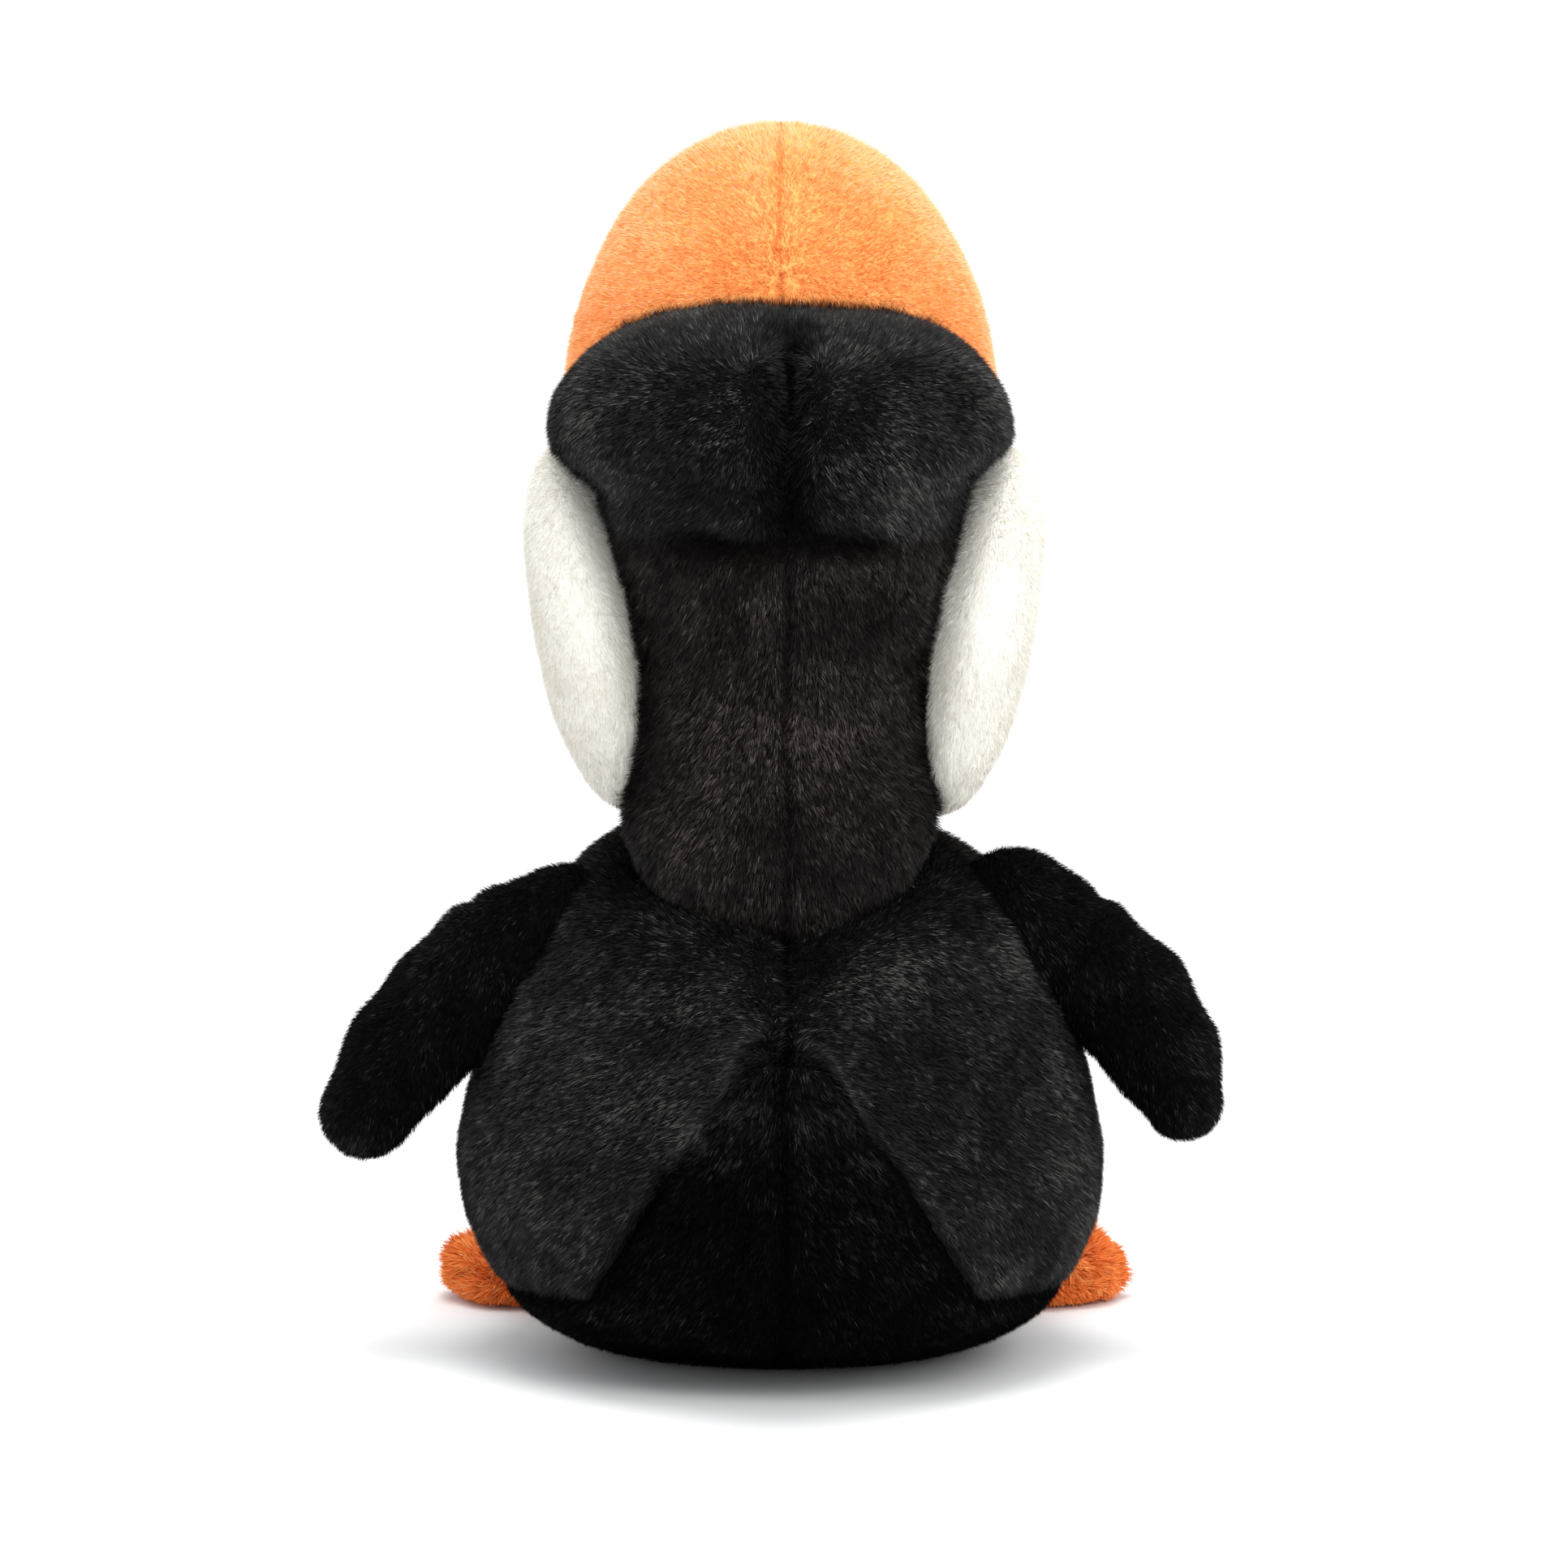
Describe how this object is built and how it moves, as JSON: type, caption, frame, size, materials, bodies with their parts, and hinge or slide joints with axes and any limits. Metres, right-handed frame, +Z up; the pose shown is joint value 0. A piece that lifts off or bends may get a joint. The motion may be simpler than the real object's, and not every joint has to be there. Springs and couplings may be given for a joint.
{
  "type": "plush bird",
  "caption": "Seated stuffed bird with a big domed beak, padded cheeks, flipper wings, a pointed tail and webbed feet on soft sewn joints.",
  "frame": {"origin": "middle of the flat seat, on the surface that the toy sits on", "axes": "+Z up, the beak points to -Y, +X towards the bird's left wing"},
  "size_m": [0.2188, 0.2309, 0.2926],
  "materials": {
    "black_plush": "short dense pile",
    "nape_plush": "short dense pile, slightly warmer black",
    "white_plush": "short dense pile",
    "orange_plush": "very short pile",
    "foot_plush": "longer fluffy pile",
    "fibre_fill": "loose polyester fibre",
    "pouch_cloth": "plain weave",
    "pellets": "small round pellets",
    "eye_gloss": "polished",
    "washer_plastic": "moulded"
  },
  "bodies": {
    "body": {"back_panel_left": "black_plush", "back_panel_right": "black_plush", "tummy_panel": "white_plush", "seat_panel": "black_plush", "body_stuffing": "fibre_fill", "pellet_pouch": "pouch_cloth", "pellets": "pellets"},
    "neck": {"neck_stuffing": "fibre_fill"},
    "head": {"crown_left": "black_plush", "crown_right": "black_plush", "nape_left": "nape_plush", "nape_right": "nape_plush", "face_panel": "white_plush", "cheek_left": "white_plush", "cheek_right": "white_plush", "head_stuffing": "fibre_fill", "beak_upper_left": "orange_plush", "beak_upper_right": "orange_plush", "beak_lower": "orange_plush", "beak_stuffing": "fibre_fill", "eye_left": "eye_gloss", "eye_right": "eye_gloss", "eye_washer_left": "washer_plastic", "eye_washer_right": "washer_plastic"},
    "wing_left": {"wing_left_top": "black_plush", "wing_left_under": "black_plush", "wing_left_stuffing": "fibre_fill"},
    "foot_left": {"foot_left_upper": "foot_plush", "foot_left_sole": "foot_plush", "foot_left_stuffing": "fibre_fill"},
    "wing_right": {"wing_right_top": "black_plush", "wing_right_under": "black_plush", "wing_right_stuffing": "fibre_fill"},
    "foot_right": {"foot_right_upper": "foot_plush", "foot_right_sole": "foot_plush", "foot_right_stuffing": "fibre_fill"}
  },
  "joints": [
    {"name": "neck_turn", "type": "hinge", "parent": "body", "child": "neck", "pos_m": [0, 0.012, 0.146], "axis": [0, 0, 1], "range_deg": [-25, 25], "stiffness_Nm_per_rad": 0.6},
    {"name": "head_nod", "type": "hinge", "parent": "neck", "child": "head", "pos_m": [0, 0.012, 0.146], "axis": [1, 0, 0], "range_deg": [-8, 8], "stiffness_Nm_per_rad": 2},
    {"name": "wing_left_swing", "type": "hinge", "parent": "body", "child": "wing_left", "pos_m": [0.065, 0.008, 0.099], "axis": [0.5264, 0, -0.8503], "range_deg": [-20, 20], "stiffness_Nm_per_rad": 0.1},
    {"name": "foot_left_lift", "type": "hinge", "parent": "body", "child": "foot_left", "pos_m": [0.04339, -0.05171, 0.015], "axis": [-0.766, -0.6428, 0], "range_deg": [-25, 8], "stiffness_Nm_per_rad": 0.1},
    {"name": "wing_right_swing", "type": "hinge", "parent": "body", "child": "wing_right", "pos_m": [-0.065, 0.008, 0.099], "axis": [0.5264, 0, 0.8503], "range_deg": [-20, 20], "stiffness_Nm_per_rad": 0.1},
    {"name": "foot_right_lift", "type": "hinge", "parent": "body", "child": "foot_right", "pos_m": [-0.04339, -0.05171, 0.015], "axis": [-0.766, 0.6428, 0], "range_deg": [-25, 8], "stiffness_Nm_per_rad": 0.1}
  ]
}
